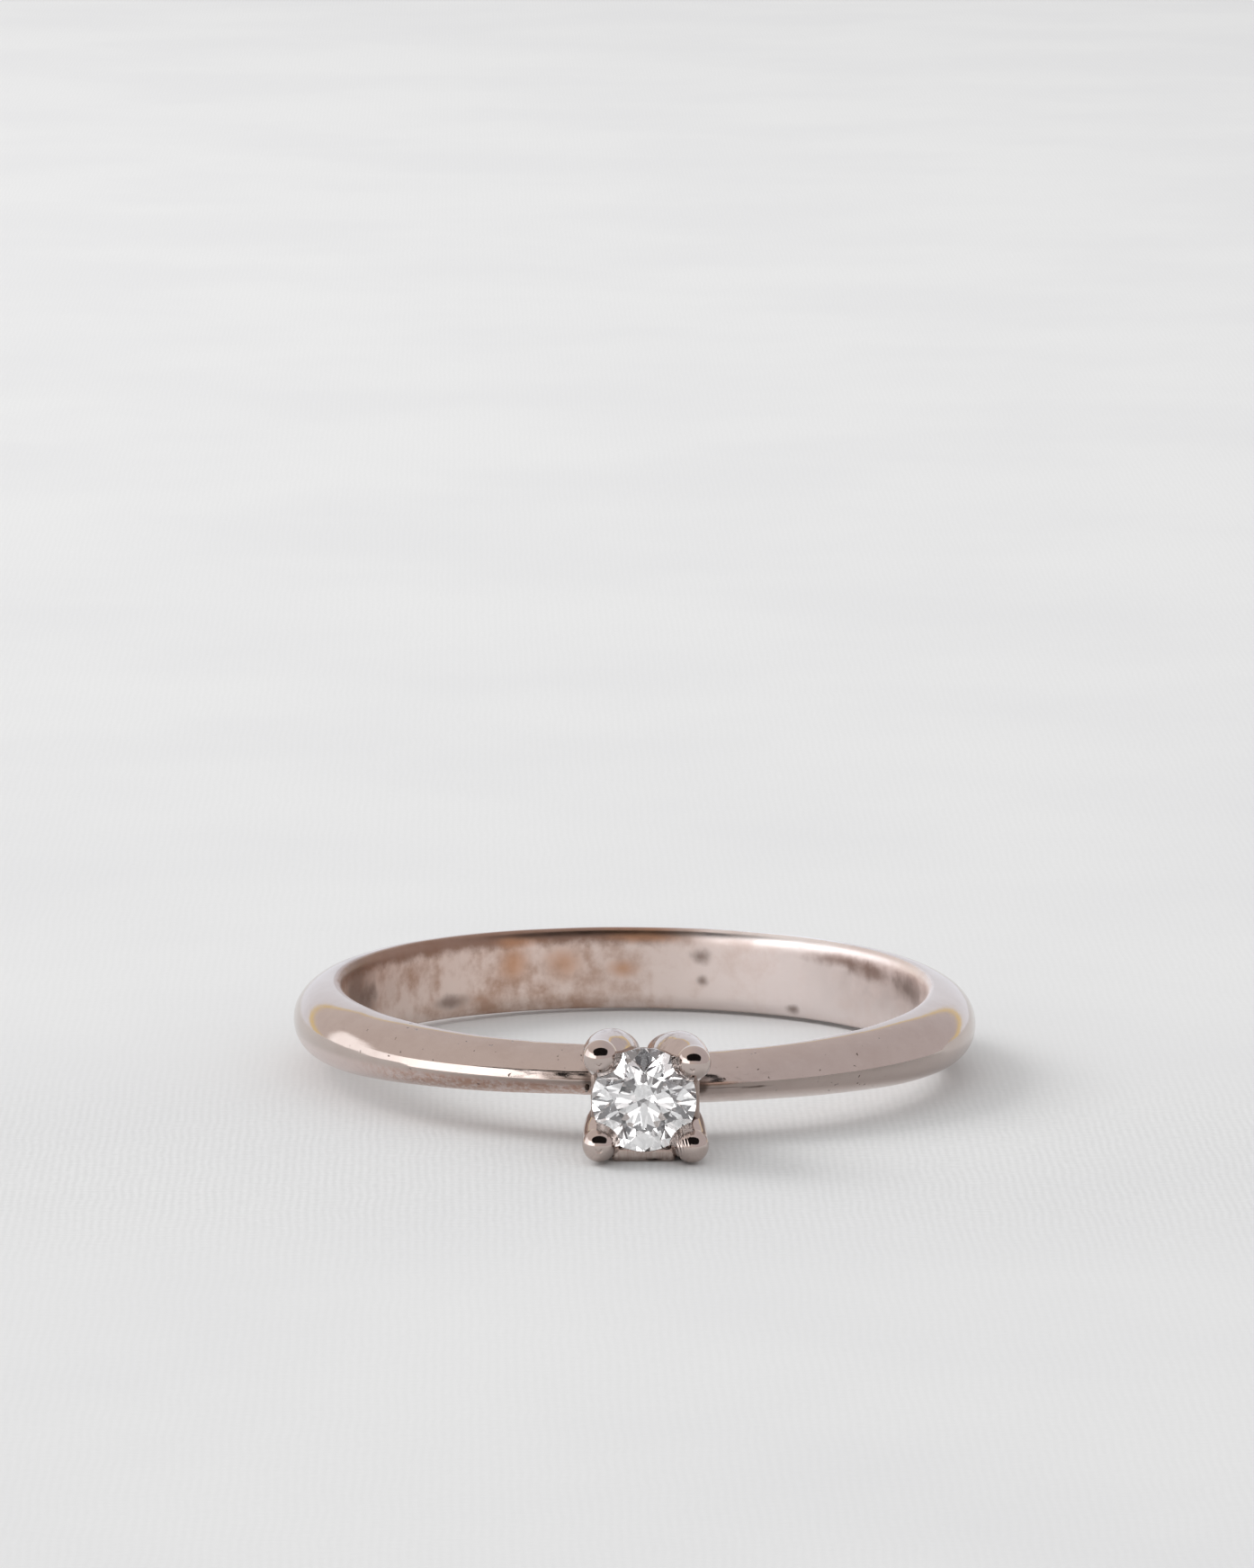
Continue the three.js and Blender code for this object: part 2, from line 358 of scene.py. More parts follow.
def band_gold():
    """Worn rhodium over warm white gold: stained bore, filed underside, pits and fine scratches, with
    painted sheen on the bore, painted light on the underside, and painted glints and shade in a few spots.
    """
    made, n = new_material("band_gold")
    place = n.add("ShaderNodeTexCoord").outputs["Object"]
    split = n.add("ShaderNodeSeparateXYZ", i0=place)
    across, along, up = split.outputs
    flat = n.add("ShaderNodeCombineXYZ", X=across, Y=along, Z=0.0).outputs[0]
    radius = n.add("ShaderNodeVectorMath", {"operation": "LENGTH"}, i0=flat).outputs["Value"]
    bore = n.ramp(radius, FINGER_RADIUS + 0.24 * MM, FINGER_RADIUS + 0.1 * MM)
    outside = n.math("SUBTRACT", 1.0, bore)

    broad = n.noise(place, 2.2, 4.0, 0.6, (1.0, 1.0, 0.8))
    blotch = n.noise(place, 0.7, 5.0, 0.6)
    cloudy = n.math("ADD", n.math("MULTIPLY", broad, 0.6), n.math("MULTIPLY", blotch, 0.45))
    stain = n.ramp(cloudy, 0.46, 0.68)
    left_more = n.ramp(across, 6 * MM, -3 * MM, 0.12, 0.8)
    bore_stain = n.math("MULTIPLY", n.math("MULTIPLY", stain, bore), left_more)
    bore_edge = n.ramp(n.math("ADD", up, n.math("MULTIPLY", blotch, 0.5 * MM)), 0.95 * MM, 1.3 * MM)
    edge_left = n.math("MULTIPLY", bore_edge, n.ramp(across, 2.6 * MM, 0.6 * MM, 0.0, 0.9))
    on_rim = n.ramp(radius, FINGER_RADIUS + 0.3 * MM, FINGER_RADIUS + 0.22 * MM)
    dark_top_edge = n.math("MULTIPLY", edge_left, on_rim)

    near_head = n.ramp(along, -4.8 * MM, -8.0 * MM)
    under = n.ramp(up, -0.03 * MM, -0.25 * MM)
    left = n.ramp(across, -0.5 * MM, -1.5 * MM)
    outer_underside = n.math("MULTIPLY", under, outside)
    filed = n.math("MULTIPLY", n.math("MULTIPLY", near_head, outer_underside), left)
    marks = n.noise(place, 0.16, 4.0, 0.7, (1.0, 0.6, 0.28))
    filed_tint = n.math("MULTIPLY", filed, n.ramp(marks, 0.38, 0.6, 0.1, 1.0))

    pits = n.noise(place, 0.16, 2.0, 0.4)
    pitted = n.math("MULTIPLY", n.ramp(pits, 0.715, 0.76), n.ramp(along, -4 * MM, -8 * MM, 0.0, 0.85))
    specks = n.math("MULTIPLY", pitted, outside)

    haze = n.noise(place, 0.8, 5.0, 0.6)
    smear = n.noise(place, 0.3, 6.0, 0.75, (0.5, 0.5, 1.6))
    base = n.mix(n.ramp(haze, 0.35, 0.7, 0.0, 0.6), GOLD, rgb(0.52, 0.43, 0.39))
    base = n.mix(n.ramp(smear, 0.5, 0.72, 0.0, 0.35), base, rgb(0.62, 0.54, 0.50))
    # Painted light: the underside of the band's outside is made paler, most to the left, in place of light
    # off the cloth.
    painted_under_light = n.ramp(across, 2 * MM, -2 * MM, 0.25, 0.8)
    base = n.mix(n.math("MULTIPLY", outer_underside, painted_under_light), base, rgb(0.74, 0.63, 0.60))
    # Painted sheen: the bore's colour is raised well above the gold's, palest to the right, in place of
    # light off the key lamp.
    painted_sheen_bore = n.mix(left_more, rgb(0.88, 0.80, 0.78), rgb(0.83, 0.68, 0.60))
    base = n.mix(bore, base, painted_sheen_bore)
    base = n.mix(bore_stain, base, rgb(0.46, 0.27, 0.18))
    # Darker brown along the top edge of the bore, to the left.
    base = n.mix(dark_top_edge, base, rgb(0.30, 0.18, 0.13))
    base = n.mix(filed_tint, base, rgb(0.52, 0.32, 0.24))
    # Lays on the stains, and the painted highlights and painted shade, of the list.
    for centre, radii, colour, wobble in BAND_STAINS_AND_PAINTED_LIGHT:
        inside = centre[1] > 0
        mark = spot(n, place, centre, radii, blotch if wobble else haze, 1.0 if inside else 0.6)
        base = n.mix(n.math("MULTIPLY", mark, 0.72 if inside else 0.8), base, colour)
    base = n.mix(specks, base, SMUT_AND_SHADE)

    scratches = n.noise(place, 0.5, 6.0, 0.75, (1.0, 1.0, 5.0))
    fine = n.ramp(scratches, 0.3, 0.75, 0.06, 0.14)
    rough = n.math("ADD", fine, n.math("MULTIPLY", bore, n.ramp(blotch, 0.3, 0.7, 0.24, 0.34)))
    rough = n.math("ADD", rough, n.math("MULTIPLY", outer_underside, 0.12))
    rough = n.math("ADD", rough, n.math("MULTIPLY", filed, 0.08))
    grain = bump(n, scratches, 0.0015 * MM, 1.0)
    dents = bump(n, specks, -0.02 * MM, 1.0, grain)
    worked = n.math("MULTIPLY", n.ramp(along, -6.5 * MM, -9.2 * MM), outside)
    dinged = bump(n, n.math("MULTIPLY", smear, worked), 0.003 * MM, 1.0, dents)
    files = bump(n, n.math("MULTIPLY", marks, filed), 0.02 * MM, 1.0, dinged)
    finish_surface(n, Base_Color=base, Metallic=1.0, Roughness=rough, Normal=files)
    return made


def gallery_gold():
    """The bars between the claws: brushed upright, with painted shade, near black, on their fronts beside
    the stone, and a painted black shadow under the lower bar.
    """
    made, n = new_material("gallery_gold")
    place = n.add("ShaderNodeTexCoord").outputs["Object"]
    across, along, up = n.add("ShaderNodeSeparateXYZ", i0=place).outputs
    brushed = n.noise(place, 0.07, 5.0, 0.7, (1.0, 1.0, 0.15))
    shade_noise = n.noise(place, 0.35, 4.0, 0.7)
    base = n.mix(n.ramp(brushed, 0.35, 0.65), rgb(0.42, 0.33, 0.295), rgb(0.54, 0.46, 0.42))
    # Painted shade: the fronts of the bars beside the stone are darkened nearly to black.
    front = n.ramp(along, -12.2 * MM, -12.6 * MM)
    above = n.ramp(up, -1.0 * MM, -0.6 * MM)
    recess_shade = n.math("MULTIPLY", n.ramp(shade_noise, 0.25, 0.5, 0.7, 1.0), n.math("MULTIPLY", front, above))
    base = n.mix(recess_shade, base, rgb(0.13, 0.085, 0.065))
    # Painted shadow: a black patch at the hollow under the lower bar's edge.
    shade = spot(n, place, (0.3, -12.9, painted_shadow_height()), (0.2, 0.6, 0.035), shade_noise)
    base = n.mix(shade, base, rgb(0.01, 0.008, 0.007))
    rough = n.math("ADD", n.ramp(brushed, 0.3, 0.7, 0.14, 0.26), n.math("MULTIPLY", recess_shade, 0.15))
    finish_surface(n, Base_Color=base, Metallic=1.0, Roughness=rough,
                   Normal=bump(n, brushed, 0.002 * MM))
    return made


def painted_shadow_height():
    """Height of the painted black shadow under the lower bar, in millimetres."""
    return (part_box("rail_bottom")[0].z + 0.07 * MM) / MM


def head_gold():
    """Bright worn polish on the claws, with painted shade on their deeper parts beside the stone."""
    made, n = new_material("head_gold")
    place = n.add("ShaderNodeTexCoord").outputs["Object"]
    along = n.add("ShaderNodeSeparateXYZ", i0=place).outputs["Y"]
    haze = n.noise(place, 0.35, 5.0, 0.6)
    shade_noise = n.noise(place, 0.3, 4.0, 0.7)
    base = n.mix(n.ramp(haze, 0.4, 0.7, 0.0, 0.4), rgb(0.56, 0.475, 0.44), rgb(0.49, 0.41, 0.37))
    # Painted shade: the claws are darker towards the back, beside the stone.
    sunk = n.ramp(along, -12.7 * MM, -11.6 * MM)
    recess_shade = n.math("MULTIPLY", n.ramp(shade_noise, 0.45, 0.62, 0.0, 0.55), sunk)
    base = n.mix(recess_shade, base, rgb(0.20, 0.13, 0.10))
    scratches = n.noise(place, 0.18, 5.0, 0.7, (1.0, 1.0, 4.0))
    rough = n.math("ADD", n.ramp(scratches, 0.35, 0.75, 0.05, 0.11), n.math("MULTIPLY", recess_shade, 0.3))
    finish_surface(n, Base_Color=base, Metallic=1.0, Roughness=rough,
                   Normal=bump(n, scratches, 0.0006 * MM))
    return made


def solder_gold():
    """Rough cast solder, dark in its hollows."""
    made, n = new_material("solder_gold")
    place = n.add("ShaderNodeTexCoord").outputs["Object"]
    lumps = n.noise(place, 0.22, 5.0, 0.7)
    base = n.mix(n.ramp(lumps, 0.4, 0.66), rgb(0.06, 0.04, 0.03), rgb(0.24, 0.17, 0.14))
    rough = n.ramp(lumps, 0.3, 0.65, 0.5, 0.22)
    finish_surface(n, Base_Color=base, Metallic=1.0, Roughness=rough,
                   Normal=bump(n, lumps, 0.03 * MM))
    return made


def diamond():
    """Clear stone with a faint haze on its facets."""
    made, n = new_material("diamond")
    place = n.add("ShaderNodeTexCoord").outputs["Object"]
    smear = n.noise(place, 0.5, 3.0, 0.5)
    base = n.mix(n.ramp(smear, 0.4, 0.7), rgb(1.0, 1.0, 1.0), rgb(0.985, 0.98, 0.985))
    finish_surface(n, Base_Color=base, Roughness=0.0, IOR=2.417, Transmission_Weight=1.0)
    return made


def cloth():
    """Pale plain-woven ground, its threads clearest beside the head, with painted shade in the weave's
    hollows.
    """
    made, n = new_material("cloth")
    place = n.add("ShaderNodeTexCoord").outputs["Object"]
    across, along, up = n.add("ShaderNodeSeparateXYZ", i0=place).outputs
    drift = n.noise(place, 18.0, 3.0, 0.5)
    bend = n.noise(place, 2.5, 3.0, 0.5)
    lean = n.math("MULTIPLY", bend, 0.35 * MM)
    warp = n.math("SINE", n.math("MULTIPLY", n.math("ADD", across, lean), TURN / (0.23 * MM)))
    weft = n.math("SINE", n.math("MULTIPLY", n.math("ADD", along, lean), TURN / (0.34 * MM)))
    threads = n.math("MULTIPLY", n.math("ADD", warp, n.math("MULTIPLY", weft, 0.25)), 0.15)
    fibre = n.noise(place, 0.12, 4.0, 0.7, (0.3, 1.0, 1.0))
    patch = n.ramp(n.noise(place, 0.9, 4.0, 0.6), 0.35, 0.65, 0.3, 1.0)
    near = n.ramp(n.math("ABSOLUTE", along), 16 * MM, 3 * MM, 0.35, 1.0)
    relief = n.math("ADD", n.math("MULTIPLY", threads, patch), fibre)
    base = n.mix(n.ramp(drift, 0.3, 0.7), rgb(0.87, 0.87, 0.87), rgb(0.84, 0.84, 0.845))
    # Painted shade: the low places of the weave are darkened.
    weave_shade = n.math("MULTIPLY", n.ramp(relief, 0.75, 0.25), near)
    base = n.mix(n.math("MULTIPLY", weave_shade, 0.45), base, rgb(0.70, 0.70, 0.70))
    finish_surface(n, Base_Color=base, Roughness=0.95, Specular_IOR_Level=0.1,
                   Normal=bump(n, n.math("MULTIPLY", relief, near), 0.02 * MM, 0.8))
    return made


def wear(piece, look):
    piece.data.materials.clear()
    piece.data.materials.append(look)


# ---------------------------------------------------------------- band

def half_width(angle):
    """Half width of the band at an angle from the head."""
    mean = (HEAD_HALF_WIDTH + BACK_HALF_WIDTH) / 2
    lean = (BACK_HALF_WIDTH - HEAD_HALF_WIDTH) / 2
    belly = (mean - SIDE_HALF_WIDTH) / 2
    return mean - belly - lean * math.cos(angle) + belly * math.cos(2 * angle)


def angle_from_head(place):
    return abs(math.atan2(place.x, -place.y))


def section_point(step, angle, side):
    """Depth over the bore and height in the band's section, for a step from the outermost point."""
    width = half_width(angle)
    ridge = 1.5 + 0.5 * fade(angle, math.radians(25), math.radians(62))
    dome = OUTER_RADIUS - FINGER_RADIUS - INNER_EDGE
    sign = 1 if step > 0 else -1
    turn = abs(step) * math.pi / 10
    if abs(step) <= 5:
        depth = dome * max(math.cos(turn), 0.0) ** (2 / ridge)
        height = sign * width * math.sin(turn) ** (2 / ridge)
        worn = fade(angle, math.radians(66), math.radians(48))
        flat = FLATS[side].get(step)
        if flat is not None:
            depth += worn * (dome * flat[0] - depth)
            height += worn * (flat[1] * MM - height)
        return INNER_EDGE + depth, height
    if abs(step) <= 7:
        round_turn = (abs(step) - 5) * math.pi / 4
        height = width - INNER_ROUND * (1 - math.cos(round_turn))
        return INNER_EDGE * (1 - math.sin(round_turn)), sign * height
    return 0.0, sign * (width - INNER_ROUND) * (10 - abs(step)) / 3


def make_shank():
    """A wire spun round the finger, to be drawn thinner and sharper towards the head."""
    bpy.ops.mesh.primitive_circle_add(vertices=WIRE_POINTS, radius=1 * MM, fill_type="NGON")
    piece = named("shank_band")
    bpy.ops.object.mode_set(mode="EDIT")
    bpy.ops.transform.rotate(value=math.pi / 2, orient_axis="X", center_override=(0, 0, 0))
    bpy.ops.transform.translate(value=(WIRE_CENTRE, 0, 0))
    start = math.asin(BAND_END_X / OUTER_RADIUS)
    bpy.ops.transform.rotate(value=math.pi / 2 + start, orient_axis="Z", center_override=(0, 0, 0))
    bpy.ops.mesh.spin(steps=56, angle=TURN - 2 * start, center=(0, 0, 0), axis=(0, 0, 1))
    bpy.ops.object.mode_set(mode="OBJECT")
    return piece


def wire_step(place):
    """Which of the points of the round wire's section this is, 0 outermost and up positive."""
    reach = math.hypot(place.x, place.y) - WIRE_CENTRE
    return round(math.atan2(place.z, reach) / TURN * WIRE_POINTS)


def sharpen(piece, wanted, sharp):
    """Creases the edges between the points of the round wire that are wanted."""
    activate(piece)
    bpy.ops.object.mode_set(mode="EDIT")
    bpy.ops.mesh.select_all(action="DESELECT")
    bpy.ops.object.mode_set(mode="OBJECT")
    for vertex in piece.data.vertices:
        vertex.select = wanted(vertex.co)
    bpy.ops.object.mode_set(mode="EDIT")
    bpy.ops.transform.edge_crease(value=sharp)
    bpy.ops.object.mode_set(mode="OBJECT")


def crease_band(piece):
    """Square cut ends, and crisp lines where the file and the buff have worked the front of the band."""
    def is_end(place):
        return angle_from_head(place) < END_ANGLE

    def on_line(side, step, reach):
        def wanted(place):
            near = angle_from_head(place) < math.radians(reach)
            return near and wire_step(place) == step and place.x * side > 0
        return wanted

    sharpen(piece, is_end, 1.0)
    sharpen(piece, on_line(-1, 1, 58), 1.0)
    sharpen(piece, on_line(-1, -1, 50), 0.6)
    sharpen(piece, on_line(1, 0, 66), 1.0)
    sharpen(piece, on_line(1, 1, 58), 0.7)


def shape_band(piece):
    """Draws each section of the wire to its own width and ridge, and sets the shoulders out of line."""
    for vertex in piece.data.vertices:
        place = vertex.co
        angle = angle_from_head(place)
        side = 1 if place.x > 0 else -1
        depth, height = section_point(wire_step(place), angle, side)
        grow = (FINGER_RADIUS + depth) / math.hypot(place.x, place.y)
        back_lift = BACK_LIFT * (1 - math.cos(angle)) / 2
        shoulder_drop = side * SHOULDER_OFFSET * (1 - angle / math.pi)
        vertex.co = Vector((place.x * grow, place.y * grow, height + back_lift - shoulder_drop))
    piece.data.update()


def finish_shank(look):
    piece = make_shank()
    close_and_orient(piece)
    crease_band(piece)
    shape_band(piece)
    subdivide_smooth(piece, 3)

    def handwork(place, normal):
        angle = math.degrees(angle_from_head(place))
        outside = fade(math.hypot(place.x, place.y), FINGER_RADIUS + 0.1 * MM, FINGER_RADIUS + 0.4 * MM)
        shoulder = fade(angle, 34, 10) * outside
        wave = 0.010 * MM * ripple(place, 1.6 * MM)
        dents = 0.016 * MM * ripple(place, 0.5 * MM, 7.0)
        chatter = 0.009 * MM * ripple(place, 0.16 * MM, 3.0)
        return wave + shoulder * (dents + chatter)

    sculpt(piece, handwork)
    shade(piece, 40)
    wear(piece, look)
    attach(piece, "root")
    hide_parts("shank")


# ---------------------------------------------------------------- head

def head_point(across, up, depth):
    """A point of the head, given across and up from the stone's axis and in front of its girdle."""
    return Vector((across, GIRDLE_Y - depth, up))


def turned(name, profile, steps):
    """A drop turned on a lathe: a ball whose rings are drawn out to (radius, height) points along Z."""
    rings = len(profile) - 1
    bpy.ops.mesh.primitive_uv_sphere_add(segments=steps, ring_count=rings, radius=1)
    piece = named(name)
    for vertex in piece.data.vertices:
        place = vertex.co
        ring = round(math.acos(min(max(-place.z, -1.0), 1.0)) / math.pi * rings)
        radius, height = profile[ring]
        reach = math.hypot(place.x, place.y)
        share = radius / reach if 0 < ring < rings else 0.0
        vertex.co = Vector((place.x * share, place.y * share, height))
    piece.data.update()
    return piece


def claw_profile(length, swell):
    body = spline([
        (0, 0),
        (0.3 * MM, 0.08 * MM),
        (0.72 * swell, 0.16 * length),
        (0.91 * swell, 0.4 * length),
        (swell, 0.6 * length),
        ((swell + BEAD_RADIUS) / 2 + 0.04 * MM, 0.8 * length),
        (BEAD_RADIUS, length),
    ], 64)
    bead = [(BEAD_RADIUS * math.cos(a), length + BEAD_RADIUS * math.sin(a))
            for a in (math.pi / 2 * k / 32 for k in range(1, 33))]
    return [(0, 0), *body[1:], *bead[:-1], (0, length + BEAD_RADIUS)]


def stone_cutter():
    """The room that the stone needs in its seat."""
    cutter = loose_copy("diamond", "stone_cutter")
    centre = Vector((0, (stone_low.y + stone_high.y) / 2, 0))
    grow = 1.012
    cutter.data.transform(Matrix.Translation(centre) @ Matrix.Scale(grow, 4) @ Matrix.Translation(-centre))
    return cutter


def loose_copy(node, name):
    """A copy of a CAD piece with its doubled points merged, to cut with."""
    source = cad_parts[node]
    copy = bpy.data.objects.new(name, source.data.copy())
    bpy.context.scene.collection.objects.link(copy)
    close_and_orient(copy)
    return copy


def groove(across, up, nick):
    """1 along the lower half of a small round nick, given by its centre and radius in millimetres."""
    right, above, radius = (k * MM for k in nick)
    off = abs(math.hypot(across - right, up - above) - radius)
    return fade(off, 0.045 * MM, 0.01 * MM) * fade(up - above, 0.03 * MM, -0.01 * MM)


def make_claw(name, bead, foot, swell, look, cutter):
    tip = head_point(bead[0] * MM, bead[1] * MM, BEAD_DEPTH)
    root = head_point(foot[0] * MM, foot[1] * MM, -FOOT_DEPTH)
    along = tip - root
    piece = turned(name + "_drop", claw_profile(along.length, swell * MM), 120)
    piece.rotation_euler = along.to_track_quat("Z", "Y").to_euler()
    piece.location = root
    apply_place(piece)
    tool_steps = name == "claw_bottom_right"
    nick = NICKS.get(name)

    def handwork(place, normal):
        soft = 0.010 * MM * ripple(place, 0.55 * MM, bead[0])
        if nick and normal.y < -0.6:
            soft -= 0.03 * MM * groove(place.x - tip.x, place.z - tip.z, nick)
        if not tool_steps:
            return soft
        side = fade(place.x, tip.x + 0.05 * MM, tip.x - 0.2 * MM)
        front = fade(place.y, GIRDLE_Y + 0.1 * MM, GIRDLE_Y - 0.15 * MM)
        step = math.sin((place.x + 0.25 * place.z) / (0.085 * MM) * TURN)
        return soft + 0.011 * MM * step * side * front

    sculpt(piece, handwork)
    cut_away(piece, cutter)
    shade(piece, 35)
    wear(piece, look)
    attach(piece, "root")
    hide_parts(name)


def make_rail(node, look, cutter):
    """A gallery bar: a bevelled bar with a faint ripple, cut away where the stone sits."""
    low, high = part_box(node)
    if node == "rail_top":
        high.z -= TOP_RAIL_SUNK
    centre = (low + high) / 2
    size = high - low
    upright = size.z > size.x
    grow = 0.16 * MM
    size = Vector((size.x + (0 if upright else grow), size.y, size.z + (grow if upright else 0)))
    bpy.ops.mesh.primitive_cube_add(size=1, location=centre, scale=size)
    piece = named(node + "_bar")
    apply_place(piece)
    bevel_edges(piece, 0.11 * MM, 4)
    activate(piece)
    bpy.ops.object.mode_set(mode="EDIT")
    bpy.ops.mesh.select_all(action="SELECT")
    bpy.ops.mesh.subdivide(number_cuts=3)
    bpy.ops.object.mode_set(mode="OBJECT")
    sculpt(piece, lambda place, normal: 0.006 * MM * ripple(place, 0.25 * MM, centre.x))
    cut_away(piece, cutter)
    shade(piece, 35)
    wear(piece, look)
    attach(piece, "root")
    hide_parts(node)


def make_collar(look):
    """The foot of the head: a rounded block hollowed by the finger and bored under the culet."""
    size = collar_high - collar_low
    centre = (collar_low + collar_high) / 2
    bpy.ops.mesh.primitive_cube_add(size=1, location=centre, scale=size)
    piece = named("base_collar_block")
    apply_place(piece)
    bpy.ops.mesh.primitive_cylinder_add(vertices=256, radius=FINGER_RADIUS, depth=6 * MM)
    finger = named("finger")
    cut_away(piece, finger)
    bpy.ops.mesh.primitive_cylinder_add(
        vertices=64, radius=0.42 * MM, depth=8 * MM, location=centre, rotation=(math.pi / 2, 0, 0))
    bore = named("culet_bore")
    apply_place(bore)
    cut_away(piece, bore)
    bevel_edges(piece, 0.08 * MM, 3)
    for tool in (finger, bore):
        bpy.data.objects.remove(tool)
    shade(piece, 35)
    wear(piece, look)
    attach(piece, "root")
    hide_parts("base_collar")


def make_seam(node, look):
    """Solder run round the joint of the shank and the head: a lumpy fillet."""
    low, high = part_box(node)
    centre = (low + high) / 2
    side = 1 if centre.x > 0 else -1
    bpy.ops.mesh.primitive_uv_sphere_add(segments=48, ring_count=32, radius=0.5, location=centre)
    piece = named(node + "_run")
    size = high - low
    piece.scale = (size.x * 1.9, size.y * 0.86, size.z * 0.66)
    apply_place(piece)
    sculpt(piece, lambda place, normal: 0.05 * MM * ripple(place, 0.32 * MM, 5.0 * side)
           + 0.03 * MM * ripple(place, 0.12 * MM, 2.0 * side))
    shade(piece, 60)
    wear(piece, look)
    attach(piece, "root")
    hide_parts(node)


# ---------------------------------------------------------------- studio

# The side window in degrees, as (middle, half size), and the card in shares of its distance.
WINDOW_ACROSS = (-102, 49)
WINDOW_UP = (10, 17)
CARD_HALF_WIDTH = 1.12
CARD_HALF_HEIGHT = 0.5


def add_floor(look):
    """Cloth that touches the foot of the claws and the back of the band, as the ring lies on it."""
    head_z = min(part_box(node)[0].z for node in ("claw_bottom_left", "claw_bottom_right", "rail_bottom"))
    head_y = GIRDLE_Y
    back_y = shank_high.y - 0.7 * MM
    tilt = math.atan2(shank_low.z - head_z, back_y - head_y)
    bpy.ops.mesh.primitive_plane_add(size=6, location=(0, head_y, head_z), rotation=(tilt, 0, 0))
    floor = named("cloth_floor")
    wear(floor, look)


def area_light(name, place, size, power):
    """A soft light that lights the cloth and shadows, and is not mirrored in metal or stone."""
    bpy.ops.object.light_add(type="AREA", location=place)
    light = bpy.context.object
    light.name = name
    light.rotation_euler = (-Vector(place)).to_track_quat("-Z", "Y").to_euler()
    light.data.size = size
    light.data.energy = power
    light.visible_glossy = False
    light.visible_transmission = False


def studio_world():
    """An even room for the cloth; for polished surfaces a warm hood, a black card and a side window."""
    world = bpy.data.worlds.new("studio")
    bpy.context.scene.world = world
    world.use_nodes = True
    n = Nodes(world.node_tree)
    ray = n.add("ShaderNodeTexCoord").outputs["Generated"]
    x, y, z = n.add("ShaderNodeSeparateXYZ", i0=ray).outputs
    elevation = n.math("MULTIPLY", n.math("ARCSINE", z), 180 / math.pi)
    to_back = n.math("MULTIPLY", n.math("ARCTAN2", x, y), 180 / math.pi)
    from_back = n.math("ABSOLUTE", to_back)

    hood_edge = n.ramp(from_back, 0.0, 60.0, 30.0, -8.0)
    above = n.math("SUBTRACT", elevation, hood_edge)
    hood = n.ramp(above, 0.0, 1.5)
    past_rim = n.math("SUBTRACT", above, n.ramp(from_back, 8.0, 50.0, 3.0, 7.0))
    rim = n.math("MULTIPLY", hood, n.ramp(past_rim, 0.6, -0.6))
    warm = n.mix(n.ramp(x, -0.4, 0.5), rgb(0.78, 0.715, 0.685), rgb(0.68, 0.64, 0.65))
    sky = n.mix(hood, rgb(0.93, 0.96, 1.03), warm)
    sky = n.mix(rim, sky, rgb(0.95, 0.78, 0.42))

    window = box_mask(n, to_back, elevation, WINDOW_ACROSS, WINDOW_UP)
    pane = n.mix(n.ramp(to_back, -110.0, -80.0), rgb(2.3, 2.28, 2.3), rgb(1.6, 1.6, 1.63))
    sky = n.mix(window, sky, pane)
    sky = n.mix(card_mask(n, ray), sky, rgb(0.012, 0.01, 0.01))

    through = n.mix(hood, rgb(1.8, 1.8, 1.85), rgb(1.72, 1.67, 1.66))
    through = n.mix(n.ramp(x, 0.5, 0.6), through, rgb(0.85, 0.8, 0.8))
    through = n.mix(window, through, rgb(4.5, 4.5, 4.6))
    through = n.mix(card_mask(n, ray), through, rgb(0.14, 0.135, 0.14))
    watcher = n.dot(ray, (0, -0.985, 0.174))
    head_shadow = n.ramp(watcher, math.cos(math.radians(12)), math.cos(math.radians(10)))
    through = n.mix(head_shadow, through, rgb(0.06, 0.055, 0.06))

    path = n.add("ShaderNodeLightPath")
    seen = n.mix(path.outputs["Is Glossy Ray"], rgb(0.72, 0.72, 0.72), sky)
    seen = n.mix(path.outputs["Is Transmission Ray"], seen, through)
    background = n.add("ShaderNodeBackground", Color=seen, Strength=1.0)
    output = n.add("ShaderNodeOutputWorld")
    n.tree.links.new(background.outputs[0], output.inputs[0])


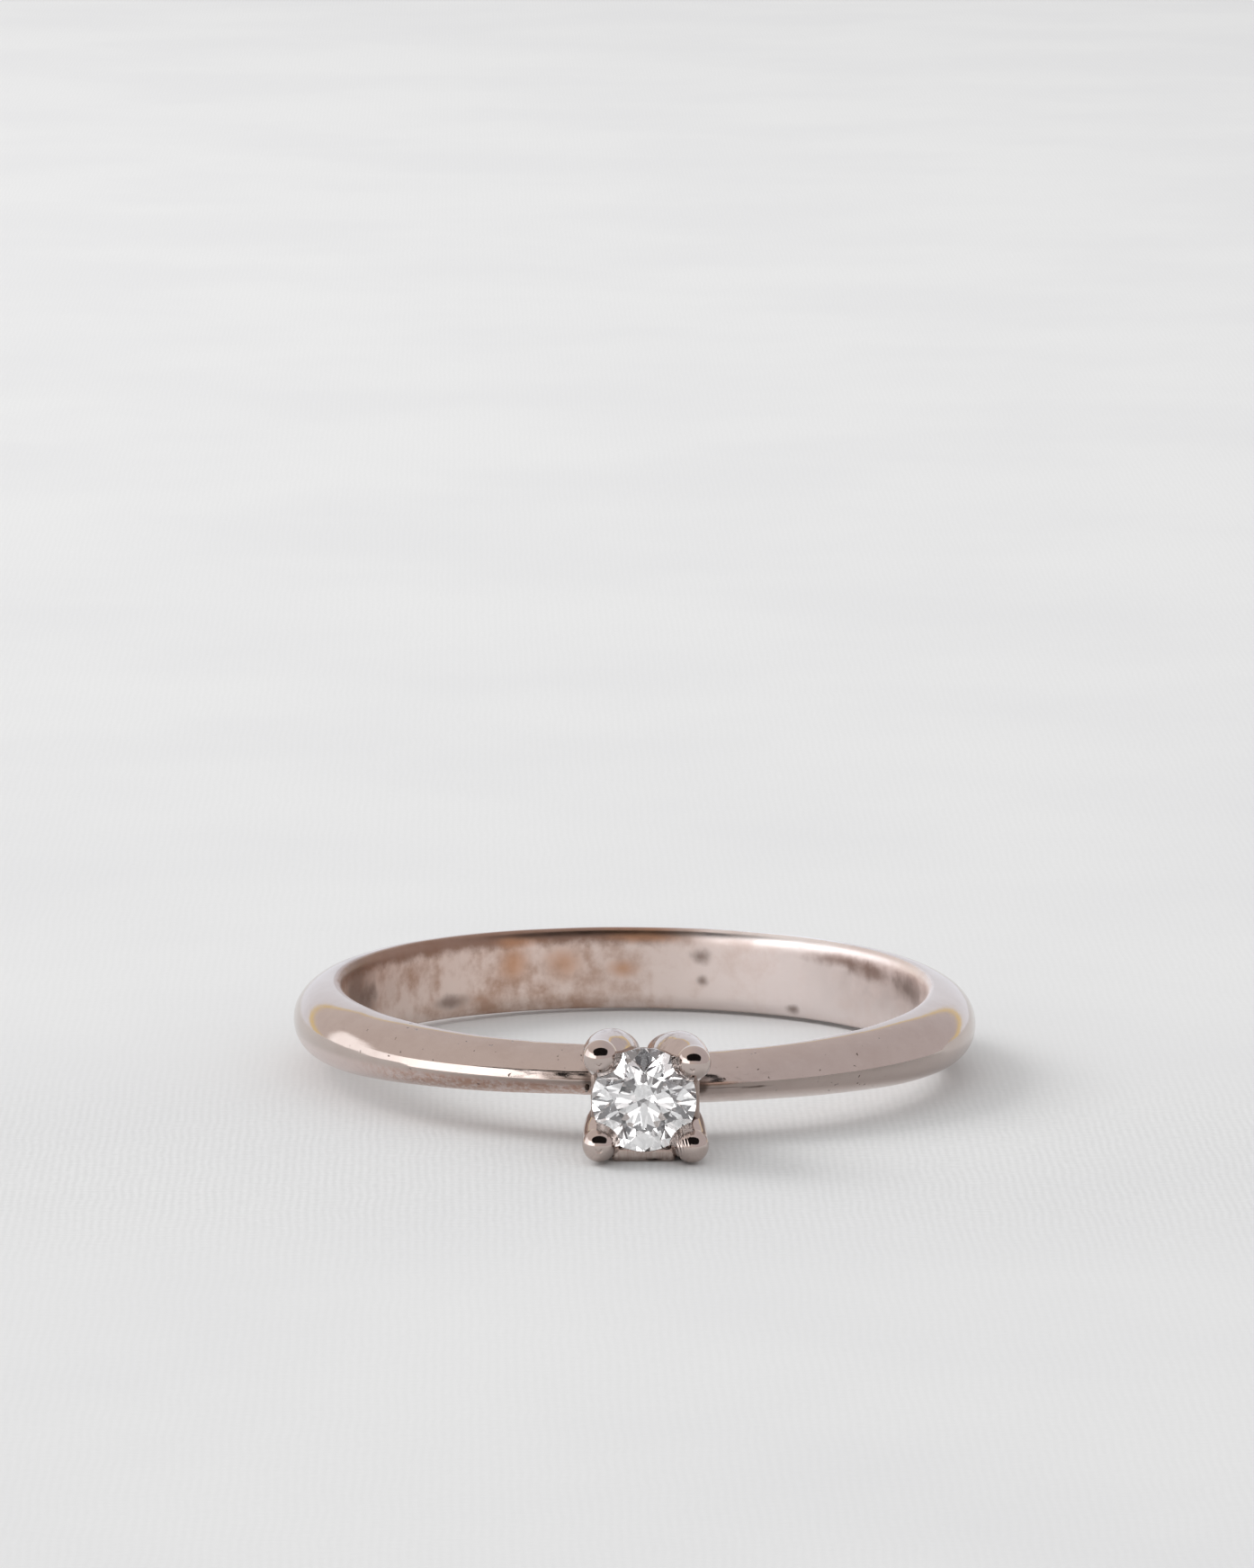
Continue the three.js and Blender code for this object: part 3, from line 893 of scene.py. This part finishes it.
def box_mask(n, azimuth, elevation, sideways, upright):
    """1 inside a patch of the sky given as (middle, half size) in degrees each way."""
    swing = n.math("ABSOLUTE", n.math("SUBTRACT", azimuth, sideways[0]))
    rise = n.math("ABSOLUTE", n.math("SUBTRACT", elevation, upright[0]))
    wide = n.ramp(swing, sideways[1], sideways[1] - 6)
    tall = n.ramp(rise, upright[1], upright[1] - 4)
    return n.math("MULTIPLY", wide, tall)


def card_mask(n, ray):
    """1 on a black card with round corners, tipped to face the ring from in front and above."""
    facing = Vector((0, -1, 1)).normalized()
    upward = Vector((0, 1, 1)).normalized()
    ahead = n.dot(ray, facing)
    rise = n.dot(ray, upward)
    side = n.add("ShaderNodeSeparateXYZ", i0=ray).outputs[0]
    held = n.math("MAXIMUM", ahead, 0.05)
    across = n.math("DIVIDE", side, n.math("MULTIPLY", held, CARD_HALF_WIDTH))
    upright = n.math("DIVIDE", rise, n.math("MULTIPLY", held, CARD_HALF_HEIGHT))
    wide = n.math("ABSOLUTE", across)
    tall = n.math("ABSOLUTE", upright)
    reach = n.math("ADD", n.math("POWER", wide, 4.0), n.math("POWER", tall, 4.0))
    return n.math("MULTIPLY", n.ramp(reach, 1.1, 0.85), n.ramp(ahead, 0.05, 0.1))


# ---------------------------------------------------------------- the ring

def build():
    add_camera()
    band = band_gold()
    head = head_gold()
    solder = solder_gold()
    gallery = gallery_gold()
    finish_shank(band)
    cutter = stone_cutter()
    for name, (bead, foot, swell) in CLAWS.items():
        make_claw(name, bead, foot, swell, head, cutter)
    for node in ("rail_bottom", "rail_top", "rail_left", "rail_right"):
        make_rail(node, gallery, cutter)
    bpy.data.objects.remove(cutter)
    make_collar(head)
    for node in ("solder_left", "solder_right"):
        make_seam(node, solder)
    wear_stone()


def wear_stone():
    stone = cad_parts["diamond"]
    stone.data.materials.clear()
    stone.data.materials.append(diamond())


def light_set():
    add_floor(cloth())
    studio_world()
    area_light("key_light", (-0.42, 0.22, 0.36), 0.3, 1.3)
    scene = bpy.context.scene
    scene.view_settings.view_transform = "Standard"
    scene.cycles.max_bounces = 24
    scene.cycles.transmission_bounces = 20
    scene.cycles.glossy_bounces = 10


build()
light_set()
